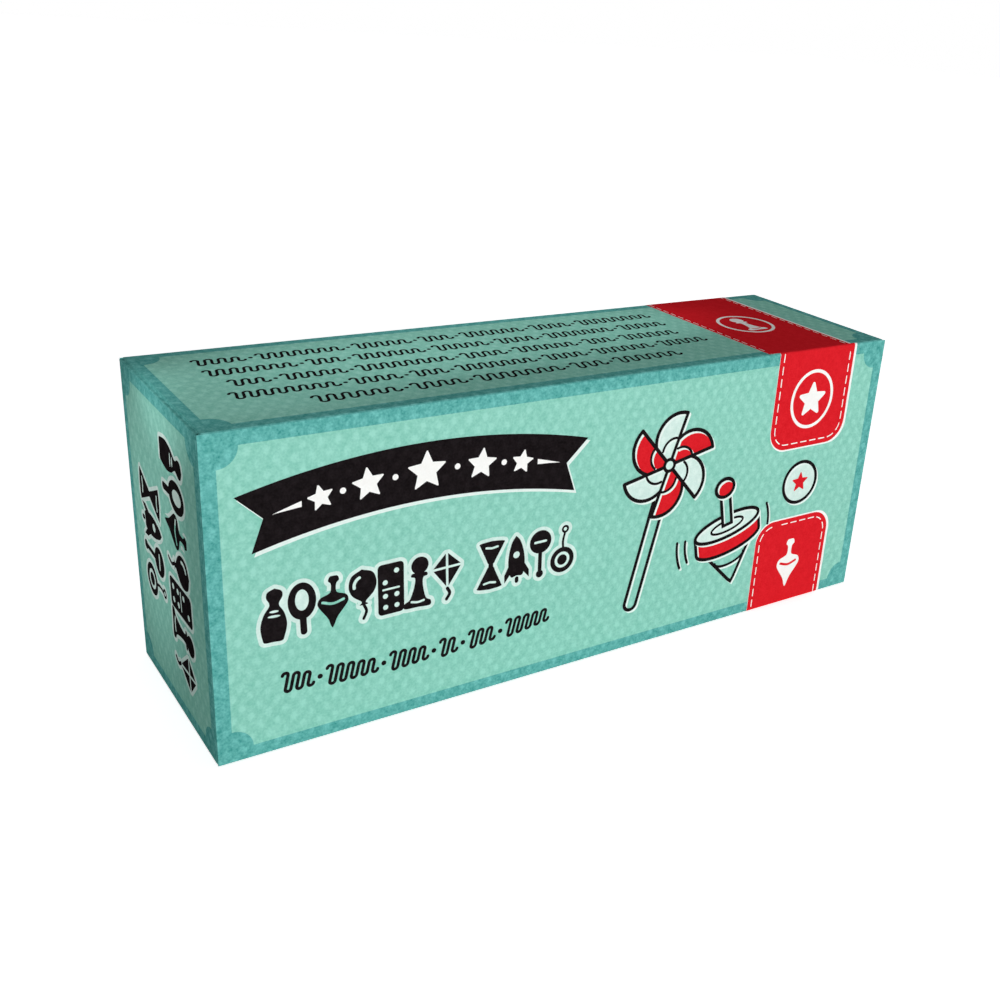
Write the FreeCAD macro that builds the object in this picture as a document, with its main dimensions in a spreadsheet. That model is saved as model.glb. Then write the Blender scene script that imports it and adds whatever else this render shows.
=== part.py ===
import FreeCAD, Part
import math
import os
import Sketcher

# A blow ball pipe toy in its folding carton, in millimetres.
# X runs along the carton to the right, Y to the back, Z up.
# The origin is the middle of the carton's bottom face.

sheet_sizes = {
    # board and its creases
    "board": 0.5,
    "crease_radius": 0.45,
    "crease_gap": 0.04,
    # clearances: toy on board, closure on dust flaps, tongue behind the front panel
    "fit_gap": 0.3,
    "end_gap": 0.1,
    "tuck_gap": 0.15,
    # end closures
    "end_inset": 0.3,
    "tongue_length": 12.0,
    "tongue_inset": 4.6,
    "tongue_corner": 9.0,
    "tongue_unfold_share": 0.25,
    # dust flaps
    "dust_length": 28.0,
    "dust_front_inset": 2.2,
    "dust_shoulder": 3.6,
    "dust_back_inset": 0.6,
    "dust_land": 1.0,
    "dust_taper": 17.0,
    "dust_corner": 2.5,
    # glue flap
    "glue_width": 12.0,
    "glue_end_inset": 3.0,
    "glue_end_slant": 6.0,
    # toy, foot
    "foot_diameter": 27.5,
    "foot_height": 14.0,
    "foot_round": 4.0,
    "spigot_diameter": 14.0,
    "spigot_height": 3.0,
    # toy, cup
    "cup_height": 16.0,
    "cup_round": 4.0,
    "rim_round": 0.8,
    "dish_land": 6.0,
    "dish_depth": 3.0,
    "web": 1.1,
    # toy, ring and its posts
    "ring_diameter": 43.0,
    "ring_height": 10.5,
    "ring_bore": 23.2,
    "ring_round": 1.2,
    "ring_seat": 2.2,
    "ring_lift": 6.0,
    "post_diameter": 4.0,
    "post_inset": 2.9,
    "post_depth": 3.0,
    # toy, stem and air way
    "stem_diameter": 10.5,
    "stem_reach": 116.0,
    "stem_land": 1.35,
    "socket_depth": 8.0,
    "mouth_round": 2.4,
    "air_bore": 4.0,
    "glue_line": 0.05,
    # toy, jet
    "jet_shank": 6.0,
    "jet_collar": 10.0,
    "jet_collar_height": 0.9,
    "jet_tip": 5.0,
    "jet_bore": 3.0,
    "jet_grip": 4.0,
    # ball
    "ball_diameter": 40.0,
    "ball_wall": 0.6,
    "ball_gap": 1.0,
    # room in the carton: past the ring, past the mouthpiece, on each side, over the ball
    "toy_end_gap": 1.5,
    "mouth_room": 12.3,
    "side_room": 3.0,
    "top_room": 2.55,
    # run of a cut past the solid that it cuts
    "overrun": 2.0,
}

post_count = 4
first_post_share = 0.125
crease_run_share = 1.0
tongue_run_share = 1.6
arc_inset_share = 1.0 - math.sqrt(0.5)
mouth_lip_share = 0.6

document = FreeCAD.newDocument("BlowBallPipe")
sheet = document.addObject("Spreadsheet::Sheet", "Sizes")
for row, (alias, number) in enumerate(sheet_sizes.items(), start=1):
    sheet.set("A%d" % row, alias)
    sheet.set("B%d" % row, str(number))
    sheet.setAlias("B%d" % row, alias)
document.recompute()


class Size:
    """A length that carries its value and the sheet expression that gives it."""

    def __init__(self, value, text):
        self.value = value
        self.text = text

    def __add__(self, other):
        return Size(self.value + other.value, "(%s + %s)" % (self.text, other.text))

    def __sub__(self, other):
        return Size(self.value - other.value, "(%s - %s)" % (self.text, other.text))

    def __mul__(self, share):
        return Size(self.value * share, "(%s * %.9f)" % (self.text, share))

    def __neg__(self):
        return Size(-self.value, "(-%s)" % self.text)


def size(alias):
    return Size(float(sheet.get(alias)), "Sizes.%s" % alias)


def bind(thing, prop, length):
    """Set a property and tie it to the sheet."""
    setattr(thing, prop, length.value)
    thing.setExpression(prop, length.text)


zero = Size(0.0, "0")
board = size("board")
fit_gap = size("fit_gap")
overrun = size("overrun")

# The toy's own places, from the bottom up.
ring_radius = size("ring_diameter") * 0.5
stem_radius = size("stem_diameter") * 0.5
ball_radius = size("ball_diameter") * 0.5
stem_axis = stem_radius + size("stem_land")
post_radius = ring_radius - size("post_inset")
toy_floor = board + fit_gap
cup_floor = toy_floor + size("foot_height")
ring_floor = cup_floor + size("cup_height") + size("ring_lift")
stem_height = cup_floor + stem_axis
ball_height = stem_height + stem_radius + fit_gap + ball_radius

# The carton is cut to the toy and the room round it.
toy_length = size("ring_diameter") + size("stem_reach")
box_height = ball_height + ball_radius + size("top_room") + board
half_depth = ring_radius + size("side_room") + board
dust_inner = (toy_length + size("toy_end_gap") + size("mouth_room")) * 0.5
half_length = dust_inner + board * 2 + size("end_gap")
box_depth = half_depth * 2
box_length = half_length * 2
end_x = -half_length
dust_x = end_x + board + size("end_gap")
tuck_y = -(half_depth - board - size("tuck_gap"))
toy_x = dust_inner - size("toy_end_gap") - ring_radius


def new_body(label):
    body = document.addObject("PartDesign::Body", label)
    body.Label = label
    return body


def new_sketch(body, name, plane, lift=zero):
    """A sketch on one of the body's own origin planes, lifted along the plane's normal."""
    sketch = body.newObject("Sketcher::SketchObject", body.Label + "_" + name)
    support = [item for item in body.Origin.OriginFeatures if item.Role == plane][0]
    sketch.AttachmentSupport = [(support, "")]
    sketch.MapMode = "FlatFace"
    if lift is not zero:
        sketch.AttachmentOffset = FreeCAD.Placement(FreeCAD.Vector(0, 0, lift.value), FreeCAD.Rotation())
        sketch.setExpression("AttachmentOffset.Base.z", lift.text)
    return sketch


def hold_point(sketch, geometry, end, x, y):
    """Tie one point of a sketch to its distances from the sketch's origin."""
    for kind, axis, length in (("DistanceX", -2, x), ("DistanceY", -1, y)):
        if length is zero:
            sketch.addConstraint(Sketcher.Constraint("PointOnObject", geometry, end, axis))
            continue
        held = sketch.addConstraint(Sketcher.Constraint(kind, -1, 1, geometry, end, length.value))
        sketch.setExpression("Constraints[%d]" % held, length.text)


def draw_outline(sketch, steps):
    """A closed outline. A step is (x, y) for a line to that point, or
    (x, y, centre x, centre y, radius) for an arc to it."""
    ends = []
    for index, step in enumerate(steps):
        before = steps[index - 1]
        start = FreeCAD.Vector(before[0].value, before[1].value, 0)
        stop = FreeCAD.Vector(step[0].value, step[1].value, 0)
        if len(step) == 2:
            line = sketch.addGeometry(Part.LineSegment(start, stop), False)
            ends.append((line, 1, 2))
            continue
        centre = FreeCAD.Vector(step[2].value, step[3].value, 0)
        circle = Part.Circle(centre, FreeCAD.Vector(0, 0, 1), step[4].value)
        first = start - centre
        last = stop - centre
        turns_left = first.x * last.y - first.y * last.x > 0
        if not turns_left:
            first, last = last, first
        angles = (math.atan2(first.y, first.x), math.atan2(last.y, last.x))
        arc = sketch.addGeometry(Part.ArcOfCircle(circle, *angles), False)
        ends.append((arc, 1, 2) if turns_left else (arc, 2, 1))
        held = sketch.addConstraint(Sketcher.Constraint("Radius", arc, step[4].value))
        sketch.setExpression("Constraints[%d]" % held, step[4].text)
    for index, (geometry, _, stop) in enumerate(ends):
        following, start, _ = ends[(index + 1) % len(ends)]
        sketch.addConstraint(Sketcher.Constraint("Coincident", geometry, stop, following, start))
        hold_point(sketch, geometry, stop, steps[index][0], steps[index][1])


def draw_circle(sketch, x, y, diameter):
    circle = Part.Circle(FreeCAD.Vector(x.value, y.value, 0), FreeCAD.Vector(0, 0, 1), diameter.value / 2)
    drawn = sketch.addGeometry(circle, False)
    held = sketch.addConstraint(Sketcher.Constraint("Diameter", drawn, diameter.value))
    sketch.setExpression("Constraints[%d]" % held, diameter.text)
    hold_point(sketch, drawn, 3, x, y)


def pad(body, sketch, length, symmetric=False):
    feature = body.newObject("PartDesign::Pad", sketch.Name + "_pad")
    feature.Profile = sketch
    bind(feature, "Length", length)
    if symmetric:
        feature.SideType = "Symmetric"
    return feature


def cut_through(body, sketch):
    feature = body.newObject("PartDesign::Pocket", sketch.Name + "_cut")
    feature.Profile = sketch
    feature.SideType = "Symmetric"
    feature.Type = "ThroughAll"
    return feature


def revolve(body, sketch, axis):
    feature = body.newObject("PartDesign::Revolution", sketch.Name + "_turned")
    feature.Profile = sketch
    feature.ReferenceAxis = (sketch, [axis])
    feature.Angle = 360
    return feature


def mirror(body, feature, plane):
    """Repeat a cut on the other side of one of the body's origin planes."""
    mirrored = body.newObject("PartDesign::Mirrored", feature.Name + "_mirrored")
    mirrored.Originals = [feature]
    support = [item for item in body.Origin.OriginFeatures if item.Role == plane][0]
    mirrored.MirrorPlane = (support, [""])
    body.Tip = mirrored


def round_edges(body, feature, radius, picks):
    """Fillet the straight edges of a feature whose middle and direction the pick accepts."""
    document.recompute()
    names = []
    for index, edge in enumerate(feature.Shape.Edges, start=1):
        ends = [vertex.Point for vertex in edge.Vertexes]
        if len(ends) == 2 and picks(ends[0], ends[1]):
            names.append("Edge%d" % index)
    fillet = body.newObject("PartDesign::Fillet", feature.Name + "_rounded")
    fillet.Base = (feature, names)
    bind(fillet, "Radius", radius)
    return fillet


def place(thing, x, y, z, angle=None):
    """Put an object at a point of the carton, turned about the vertical."""
    turn = FreeCAD.Rotation(FreeCAD.Vector(0, 0, 1), 0 if angle is None else angle.value)
    thing.Placement = FreeCAD.Placement(FreeCAD.Vector(x.value, y.value, z.value), turn)
    for axis, length in (("x", x), ("y", y), ("z", z)):
        thing.setExpression("Placement.Base." + axis, length.text)
    if angle is not None:
        thing.setExpression("Placement.Rotation.Angle", angle.text)


def crease_end(at, run_share):
    """The end of a board strip at a crease: its outer corner is round and its edge is
    mitred, with the crease gap to the next panel. Distances are (along, inward)."""
    gap = size("crease_gap")
    radius = size("crease_radius")
    tangent = (gap + radius, zero)
    turned = (gap + radius * arc_inset_share, radius * arc_inset_share)
    inner = (gap + board * run_share, board)
    return [at(*tangent), at(*turned), at(*inner)], at(gap + radius, radius)


def draw_strip(sketch, corner, along, inward, length, last_creased, run_share=crease_run_share):
    """The cross-section of a strip of board that starts at a crease, with its outer face
    through corner. along and inward are unit steps in the sketch."""

    def near(distance, depth):
        x = corner[0] + distance * along[0] + depth * inward[0]
        y = corner[1] + distance * along[1] + depth * inward[1]
        return x, y

    def far(distance, depth):
        return near(length - distance, depth)

    radius = size("crease_radius")
    (tangent, turned, inner), centre = crease_end(near, run_share)
    steps = [tangent]
    if last_creased:
        (far_tangent, far_turned, far_inner), far_centre = crease_end(far, crease_run_share)
        steps += [far_tangent, far_turned + far_centre + (radius,), far_inner]
    else:
        steps += [far(zero, zero), far(zero, board)]
    steps += [inner, turned, tangent + centre + (radius,)]
    draw_outline(sketch, steps[1:])


def relieve_ends(body, sketch, corner, along, inward):
    """Mitre both ends of a panel whose ends carry a hinged flap."""

    def at(distance, depth):
        x = corner[0] + distance * along[0] + depth * inward[0]
        y = corner[1] + distance * along[1] + depth * inward[1]
        return x, y

    (tangent, turned, _), centre = crease_end(at, crease_run_share)
    gap = size("crease_gap")
    radius = size("crease_radius")
    steps = [
        turned + centre + (radius,),
        at(gap + board + overrun, board + overrun),
        at(-overrun, board + overrun),
        at(-overrun, -overrun),
        at(gap + radius, -overrun),
        tangent,
    ]
    draw_outline(sketch, steps)
    mirror(body, cut_through(body, sketch), "YZ_Plane")


def front_panel():
    body = new_body("front_panel")
    sketch = new_sketch(body, "section", "YZ_Plane")
    draw_strip(sketch, (-half_depth, zero), (0, 1), (1, 0), box_height, True)
    pad(body, sketch, box_length, True)
    return body


def back_panel():
    body = new_body("back_panel")
    sketch = new_sketch(body, "section", "YZ_Plane")
    draw_strip(sketch, (half_depth, zero), (0, 1), (-1, 0), box_height, True)
    pad(body, sketch, box_length, True)
    relief = new_sketch(body, "relief", "XY_Plane", box_height * 0.5)
    relieve_ends(body, relief, (end_x, half_depth), (1, 0), (0, -1))
    return body


def lying_panel(label, height, inward):
    """The top or the bottom panel, which stops short of the ends by the closure and a gap."""
    body = new_body(label)
    sketch = new_sketch(body, "section", "YZ_Plane")
    draw_strip(sketch, (-half_depth, height), (1, 0), (0, inward), box_depth, True)
    pad(body, sketch, box_length - (board + size("end_gap")) * 2, True)
    relief = new_sketch(body, "relief", "XZ_Plane")
    relieve_ends(body, relief, (dust_x, height), (1, 0), (0, inward))
    return body


def glue_flap():
    """The seam flap: it stands on the bottom panel and is glued to the back panel's inside."""
    body = new_body("glue_flap")
    sketch = new_sketch(body, "outline", "XZ_Plane", -(half_depth - board))
    foot = dust_inner - size("glue_end_inset")
    head = foot - size("glue_end_slant")
    low = board + size("crease_gap")
    high = low + size("glue_width")
    draw_outline(sketch, [(-foot, low), (foot, low), (head, high), (-head, high)])
    pad(body, sketch, board)
    return body


def left_end_flap():
    """The closure: creased on the back panel, it reaches to the front panel's inner face."""
    body = new_body("left_end_flap")
    inset = size("end_inset")
    sketch = new_sketch(body, "section", "XY_Plane", inset)
    draw_strip(sketch, (end_x, half_depth), (0, -1), (1, 0), half_depth - tuck_y, True)
    pad(body, sketch, box_height - inset * 2)
    return body


def left_tuck_tongue():
    """The tongue leans in from the front panel, by what its tip swings out as it is drawn."""
    body = new_body("left_tuck_tongue")
    inset = size("tongue_inset")
    reach = size("tongue_length")
    sketch = new_sketch(body, "section", "XY_Plane", inset)
    draw_strip(sketch, (zero, zero), (1, 0), (0, 1), reach, False, tongue_run_share)
    strip = pad(body, sketch, box_height - inset * 2)

    def free_corner(start, stop):
        at_tip = min(start.x, stop.x) > reach.value * 0.99
        return at_tip and abs(start.z - stop.z) < 1e-6

    round_edges(body, strip, size("tongue_corner"), free_corner)
    swing = half_depth - tuck_y
    unfold = size("tongue_unfold_share").value
    lean_value = math.degrees((1 + unfold) ** 2 * reach.value / (2 * swing.value))
    lean_text = "((1 + Sizes.tongue_unfold_share) ^ 2 * %s / (2 * %s) * 180 / pi)" % (reach.text, swing.text)
    place(body, end_x, tuck_y, zero, Size(lean_value, lean_text))
    return body


def left_upper_dust_flap():
    """Hinged on the top panel's end, under the closure. A shoulder at its root locks beside
    the tongue, and its back edge slants so that the closure stays ahead as both open."""
    body = new_body("left_upper_dust_flap")
    reach = size("dust_length")
    front = -(half_depth - board - size("dust_front_inset"))
    back = half_depth - board - size("dust_back_inset")
    shoulder = box_height - size("dust_shoulder")
    sketch = new_sketch(body, "section", "XZ_Plane", -back)
    draw_strip(sketch, (dust_x, box_height), (0, -1), (1, 0), reach, False)
    pad(body, sketch, back - tuck_y)
    taper = new_sketch(body, "taper", "YZ_Plane", dust_x)
    foot = box_height - reach
    draw_outline(taper, [
        (front, shoulder),
        (tuck_y - overrun, shoulder),
        (tuck_y - overrun, foot - overrun),
        (front, foot - overrun),
    ])
    draw_outline(taper, [
        (back, box_height - size("dust_land")),
        (back + overrun, box_height - size("dust_land")),
        (back + overrun, foot - overrun),
        (back - size("dust_taper"), foot - overrun),
        (back - size("dust_taper"), foot),
    ])
    cut = cut_through(body, taper)

    def free_corner(start, stop):
        at_tip = max(start.z, stop.z) < foot.value + 0.01 * reach.value
        return at_tip and abs(start.y - stop.y) < 1e-6

    round_edges(body, cut, size("dust_corner"), free_corner)
    return body


def mirrored_piece(label, source, base, normal):
    """The same piece on the other side of a plane."""
    piece = document.addObject("Part::Mirroring", label)
    piece.Label = label
    piece.Source = source
    piece.Base = base
    piece.Normal = normal
    return piece


def pipe_foot():
    body = new_body("pipe_foot")
    sketch = new_sketch(body, "profile", "XZ_Plane")
    radius = size("foot_diameter") * 0.5
    bend = size("foot_round")
    height = size("foot_height")
    spigot = size("spigot_diameter") * 0.5
    top = height + size("spigot_height") - size("glue_line")
    draw_outline(sketch, [
        (zero, zero),
        (radius - bend, zero),
        (radius, bend, radius - bend, bend, bend),
        (radius, height),
        (spigot, height),
        (spigot, top),
        (zero, top),
    ])
    revolve(body, sketch, "V_Axis")
    place(body, toy_x, zero, toy_floor)
    return body


def post_pattern(body, sketch_name, plane_lift):
    """Blind holes for the ring's posts, one drawn and the others turned about the axis."""
    sketch = new_sketch(body, sketch_name, "XY_Plane", plane_lift)
    reach = post_radius * math.cos(2 * math.pi * first_post_share)
    draw_circle(sketch, reach, reach, size("post_diameter") + size("glue_line") * 2)
    holes = body.newObject("PartDesign::Pocket", sketch.Name + "_hole")
    holes.Profile = sketch
    bind(holes, "Length", (size("post_depth") + size("glue_line")) * 2)
    holes.SideType = "Symmetric"
    pattern = body.newObject("PartDesign::PolarPattern", sketch.Name + "_pattern")
    pattern.Originals = [holes]
    axis = [item for item in body.Origin.OriginFeatures if item.Role == "Z_Axis"][0]
    pattern.Axis = (axis, [""])
    pattern.Angle = 360
    pattern.Occurrences = post_count
    body.Tip = pattern


def pipe_cup():
    """The band: a dish in its top, a hole for the jet, the stem's socket and the air channel."""
    body = new_body("pipe_cup")
    sketch = new_sketch(body, "profile", "XZ_Plane")
    line = size("glue_line")
    bend = size("cup_round")
    rim = size("rim_round")
    height = size("cup_height")
    dish = ring_radius - size("dish_land")
    depth = size("dish_depth")
    spigot = size("spigot_diameter") * 0.5 + line
    jet = size("jet_shank") * 0.5 + line
    chamber = size("spigot_height") + size("web")
    draw_outline(sketch, [
        (zero, size("spigot_height")),
        (spigot, size("spigot_height")),
        (spigot, zero),
        (ring_radius - bend, zero),
        (ring_radius, bend, ring_radius - bend, bend, bend),
        (ring_radius, height - rim),
        (ring_radius - rim, height, ring_radius - rim, height - rim, rim),
        (dish, height),
        (dish - depth, height - depth, dish - depth, height, depth),
        (jet, height - depth),
        (jet, chamber),
        (zero, chamber),
    ])
    revolve(body, sketch, "V_Axis")
    socket = new_sketch(body, "socket", "YZ_Plane", -(ring_radius + overrun))
    draw_circle(socket, zero, stem_axis, size("stem_diameter") + line * 2)
    bore = body.newObject("PartDesign::Pocket", "socket_bore")
    bore.Profile = socket
    bind(bore, "Length", size("socket_depth") + overrun)
    bore.Reversed = True
    channel = new_sketch(body, "channel", "YZ_Plane", -(ring_radius + overrun))
    draw_circle(channel, zero, stem_axis, size("air_bore"))
    way = body.newObject("PartDesign::Pocket", "air_channel")
    way.Profile = channel
    bind(way, "Length", ring_radius + overrun)
    way.Reversed = True
    post_pattern(body, "post_holes", height)
    place(body, toy_x, zero, cup_floor)
    return body


def guard_ring():
    """The red ring: its bore is flared at the top, where the ball seats."""
    body = new_body("guard_ring")
    sketch = new_sketch(body, "profile", "XZ_Plane")
    bore = size("ring_bore") * 0.5
    bend = size("ring_round")
    seat = size("ring_seat")
    height = size("ring_height")
    draw_outline(sketch, [
        (bore, zero),
        (ring_radius - bend, zero),
        (ring_radius, bend, ring_radius - bend, bend, bend),
        (ring_radius, height - bend),
        (ring_radius - bend, height, ring_radius - bend, height - bend, bend),
        (bore + seat, height),
        (bore, height - seat, bore + seat, height - seat, seat),
    ])
    revolve(body, sketch, "V_Axis")
    post_pattern(body, "post_holes", zero)
    place(body, toy_x, zero, ring_floor)
    return body


def ring_post(number):
    post = document.addObject("Part::Cylinder", "ring_post_%d" % number)
    post.Label = "ring_post_%d" % number
    bind(post, "Radius", size("post_diameter") * 0.5)
    bind(post, "Height", size("ring_lift") + size("post_depth") * 2)
    turn = 2 * math.pi * (first_post_share + (number - 1) / post_count)
    x = toy_x + post_radius * math.cos(turn)
    y = post_radius * math.sin(turn)
    place(post, x, y, ring_floor - size("ring_lift") - size("post_depth"))
    return post


def pipe_stem():
    """A bored dowel along X, glued in the cup's socket, with a rounded mouthpiece."""
    body = new_body("pipe_stem")
    sketch = new_sketch(body, "profile", "XZ_Plane")
    bore = size("air_bore") * 0.5
    bend = size("mouth_round")
    root = -(ring_radius - size("socket_depth") + size("glue_line"))
    mouth = -(ring_radius + size("stem_reach"))
    lip = (stem_radius - bend - bore) * mouth_lip_share
    draw_outline(sketch, [
        (root, bore),
        (root, stem_radius),
        (mouth + bend, stem_radius),
        (mouth, stem_radius - bend, mouth + bend, stem_radius - bend, bend),
        (mouth, bore + lip),
        (mouth + lip, bore, mouth + lip, bore + lip, lip),
    ])
    revolve(body, sketch, "H_Axis")
    place(body, toy_x, zero, stem_height)
    return body


def air_jet():
    """A turned nozzle: its shank fills the hole in the dish and its tip ends at the rim."""
    body = new_body("air_jet")
    sketch = new_sketch(body, "profile", "XZ_Plane")
    shank = size("jet_shank") * 0.5
    collar = size("jet_collar") * 0.5
    collar_top = size("jet_collar_height")
    tip = size("jet_tip") * 0.5
    bore = size("jet_bore") * 0.5
    draw_outline(sketch, [
        (bore, -size("jet_grip")),
        (shank, -size("jet_grip")),
        (shank, zero),
        (collar, zero),
        (collar, collar_top),
        (tip, size("dish_depth")),
        (bore, size("dish_depth")),
    ])
    revolve(body, sketch, "V_Axis")
    place(body, toy_x, zero, cup_floor + size("cup_height") - size("dish_depth"))
    return body


def floating_ball():
    """A light hollow ball, stored on the stem beside the cup."""
    outside = document.addObject("Part::Sphere", "ball_outside")
    bind(outside, "Radius", ball_radius)
    inside = document.addObject("Part::Sphere", "ball_inside")
    bind(inside, "Radius", ball_radius - size("ball_wall"))
    ball = document.addObject("Part::Cut", "floating_ball")
    ball.Label = "floating_ball"
    ball.Base = outside
    ball.Tool = inside
    place(ball, toy_x - ring_radius - size("ball_gap") - ball_radius, zero, ball_height)
    return ball


def build():
    pieces = [
        front_panel(),
        back_panel(),
        lying_panel("top_panel", box_height, -1),
        lying_panel("bottom_panel", zero, 1),
        glue_flap(),
    ]
    closure = left_end_flap()
    tongue = left_tuck_tongue()
    upper = left_upper_dust_flap()
    middle = FreeCAD.Vector(0, 0, box_height.value / 2)
    lower = mirrored_piece("left_lower_dust_flap", upper, middle, FreeCAD.Vector(0, 0, 1))
    lower.setExpression("Base.z", (box_height * 0.5).text)
    left_end = [closure, tongue, upper, lower]
    right_end = []
    for piece in left_end:
        label = piece.Label.replace("left", "right")
        right_end.append(mirrored_piece(label, piece, FreeCAD.Vector(), FreeCAD.Vector(1, 0, 0)))
    toy = [pipe_foot(), pipe_cup(), air_jet(), guard_ring(), pipe_stem(), floating_ball()]
    posts = [ring_post(number) for number in range(1, post_count + 1)]
    return pieces + left_end + right_end + toy + posts


def check_and_write(pieces):
    document.recompute()
    for thing in document.Objects:
        if "Invalid" in thing.State or "Error" in thing.State:
            raise RuntimeError("%s did not build: %s" % (thing.Name, thing.State))
    os.makedirs("parts", exist_ok=True)
    for piece in pieces:
        shape = piece.Shape
        if shape.isNull() or not shape.isValid():
            raise RuntimeError("%s has no valid shape" % piece.Label)
    for piece in pieces:
        piece.Shape.exportStep("parts/%s.step" % piece.Label)
        print("%-24s %2d solid %10.2f mm3" % (piece.Label, len(piece.Shape.Solids), piece.Shape.Volume))


check_and_write(build())
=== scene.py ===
"""Looks for a blow ball pipe toy in its printed folding carton.

The carton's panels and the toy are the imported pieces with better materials. The print is made
of thin closed plates on the panels. Lengths here are in millimetres unless a name says metres.
"""

import math

import bmesh
import bpy
from mathutils import Matrix, Vector
from mathutils.geometry import tessellate_polygon


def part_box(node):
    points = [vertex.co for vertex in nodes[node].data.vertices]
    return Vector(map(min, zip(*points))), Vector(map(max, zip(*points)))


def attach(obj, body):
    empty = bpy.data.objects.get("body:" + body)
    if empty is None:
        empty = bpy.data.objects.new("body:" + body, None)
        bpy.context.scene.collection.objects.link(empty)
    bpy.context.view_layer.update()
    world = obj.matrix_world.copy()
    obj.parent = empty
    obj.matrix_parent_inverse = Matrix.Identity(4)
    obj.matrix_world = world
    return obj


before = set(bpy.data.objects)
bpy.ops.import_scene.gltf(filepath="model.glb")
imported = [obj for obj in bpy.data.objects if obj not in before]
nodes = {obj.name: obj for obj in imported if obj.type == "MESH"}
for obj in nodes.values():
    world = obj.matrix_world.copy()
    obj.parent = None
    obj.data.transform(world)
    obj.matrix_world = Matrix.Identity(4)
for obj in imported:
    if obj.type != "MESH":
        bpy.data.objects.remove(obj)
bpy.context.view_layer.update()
scene = bpy.context.scene
scene.view_settings.view_transform = "Standard"

millimetre = 0.001
full_turn = 2 * math.pi

# The carton's outside, read from the frame.
front_low, front_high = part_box("front_panel")
box_length = (front_high.x - front_low.x) / millimetre
box_height = (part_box("top_panel")[1].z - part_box("bottom_panel")[0].z) / millimetre
box_depth = (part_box("back_panel")[1].y - front_low.y) / millimetre
half_length = box_length / 2
half_depth = box_depth / 2
crease_radius = 0.45

# Inks as they look on the lit front: the dark and the light of their grain, and how much of
# the way to the light a screened dot goes.
inks = {
    "mint": ("7AC2AF", "9EDCCC", 0.42),
    "teal": ("388E88", "78C8C2", 0.3),
    "red": ("D41A24", "E42730", 0.1),
    "black": ("110E0F", "231E20", 0.3),
    "pale": ("C8E4DC", "DFF4ED", 0.4),
    "frost": ("DFF0EA", "EDF7F3", 0.0),
    "white": ("F6F5F2", "FFFFFD", 0.0),
}
board_light = "FAF9F5"
board_dark = "E8E5DC"


def colour(code):
    """Linear colour of a hex code."""
    def channel(pair):
        value = int(pair, 16) / 255
        return value / 12.92 if value <= 0.04045 else ((value + 0.055) / 1.055) ** 2.4
    return tuple(channel(code[start:start + 2]) for start in (0, 2, 4)) + (1.0,)


class Finish:
    """A material with one Principled shader, and short calls that wire nodes into it."""

    def __init__(self, name, roughness, specular):
        self.material = bpy.data.materials.new(name)
        self.material.use_nodes = True
        self.tree = self.material.node_tree
        self.shader = self.tree.nodes["Principled BSDF"]
        self.look("Roughness", roughness)
        self.look("Specular IOR Level", specular)
        self.place = self.node("TexCoord").outputs["Object"]

    def look(self, name, value):
        self.shader.inputs[name].default_value = value

    def feed(self, socket, value):
        if isinstance(value, bpy.types.NodeSocket):
            self.tree.links.new(value, socket)
        else:
            socket.default_value = value

    def node(self, kind, inputs=None, **settings):
        made = self.tree.nodes.new("ShaderNode" + kind)
        for key, value in settings.items():
            setattr(made, key, value)
        for key, value in (inputs or {}).items():
            self.feed(made.inputs[key], value)
        return made

    def math(self, operation, first, second=0.0, third=0.0):
        inputs = {0: first, 1: second, 2: third}
        return self.node("Math", inputs, operation=operation).outputs[0]

    def vector(self, operation, first, second=(0, 0, 0)):
        return self.node("VectorMath", {0: first, 1: second}, operation=operation)

    def mix(self, share, first, second):
        inputs = {0: share, 6: first, 7: second}
        return self.node("Mix", inputs, data_type="RGBA").outputs[2]

    def step(self, value, low, high, start=0.0, stop=1.0):
        inputs = {"Value": value, "From Min": low, "From Max": high, "To Min": start, "To Max": stop}
        return self.node("MapRange", inputs, interpolation_type="SMOOTHSTEP").outputs["Result"]

    def noise(self, size, detail=2.0, stretch=(1, 1, 1), distortion=0.0):
        """Noise whose patches are about size millimetres across."""
        scaled = self.vector("MULTIPLY", self.place, stretch).outputs[0]
        inputs = {
            "Vector": scaled,
            "Scale": 1 / (size * millimetre),
            "Detail": detail,
            "Distortion": distortion,
        }
        return self.node("TexNoise", inputs).outputs["Fac"]

    def bump(self, height, depth):
        """A relief of the given depth in millimetres."""
        inputs = {"Height": height, "Distance": depth * millimetre, "Strength": 1.0}
        self.feed(self.shader.inputs["Normal"], self.node("Bump", inputs).outputs[0])

    def paint(self, base):
        self.feed(self.shader.inputs["Base Color"], base)
        return self.material


planes = {"front": ("X", "Z"), "top": ("X", "Y"), "end": ("Y", "Z")}

# The sheet's screened dots: staggered rows of small pale spots.
dot_pitch = 3.5
dot_row = 2.42
dot_radius = 1.05
dot_core = 0.2
dot_squash = 0.75
grain_size = 0.45
patch_size = 1.6
grain_share = 1.35
patch_share = 0.8


def screened_dots(finish, plane):
    """1 at the middle of each dot and 0 between them."""
    axes = finish.node("SeparateXYZ", {0: finish.place}).outputs
    u, v = (axes[name] for name in planes[plane])
    flat = finish.node("CombineXYZ", {0: u, 1: v}).outputs[0]
    cell = (dot_pitch * millimetre, 2 * dot_row * millimetre, 1)
    shape = (cell[0], cell[1] * dot_squash, 1)
    dots = None
    for offset in (0.0, 0.5):
        scaled = finish.vector("DIVIDE", flat, cell).outputs[0]
        moved = finish.vector("ADD", scaled, (offset, offset, 0)).outputs[0]
        inside = finish.vector("FRACTION", moved).outputs[0]
        centred = finish.vector("SUBTRACT", inside, (0.5, 0.5, 0)).outputs[0]
        distance = finish.vector("LENGTH", finish.vector("MULTIPLY", centred, shape).outputs[0])
        spot = finish.step(
            distance.outputs["Value"], dot_core * millimetre, dot_radius * millimetre, 1.0, 0.0)
        dots = spot if dots is None else finish.math("MAXIMUM", dots, spot)
    return dots


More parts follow.
